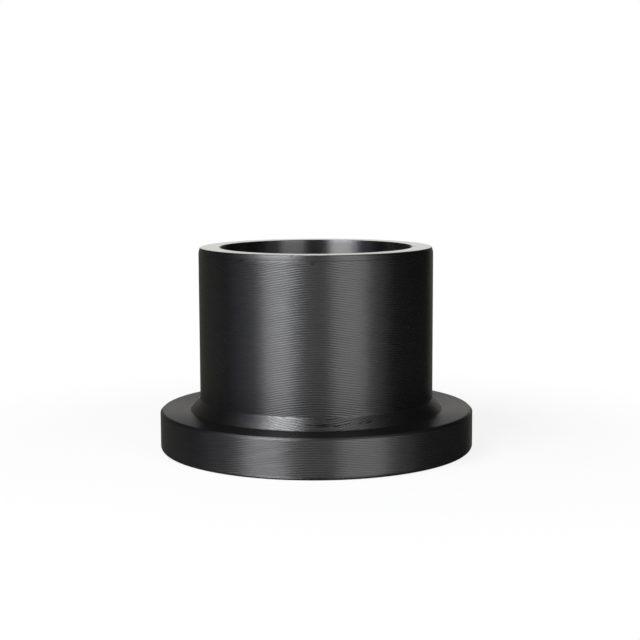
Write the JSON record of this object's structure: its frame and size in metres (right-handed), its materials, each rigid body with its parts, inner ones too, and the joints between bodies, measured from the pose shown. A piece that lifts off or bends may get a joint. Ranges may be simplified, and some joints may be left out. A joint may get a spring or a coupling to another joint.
{
  "type": "lap joint stub end",
  "caption": "Turned black polyethylene stub end: thick flat collar, coned neck, straight spigot and through bore, for a loose backing ring and a fused pipe.",
  "frame": {"origin": "centre of the sealing face, on the surface that the fitting stands on", "axes": "+Z along the bore's axis, from the sealing face towards the spigot's mouth"},
  "size_m": [0.188, 0.188, 0.121],
  "materials": {
    "black_polyethylene": "satin black, with fine turning marks all over"
  },
  "bodies": {
    "root": {"stub_end": "black_polyethylene"}
  },
  "joints": []
}
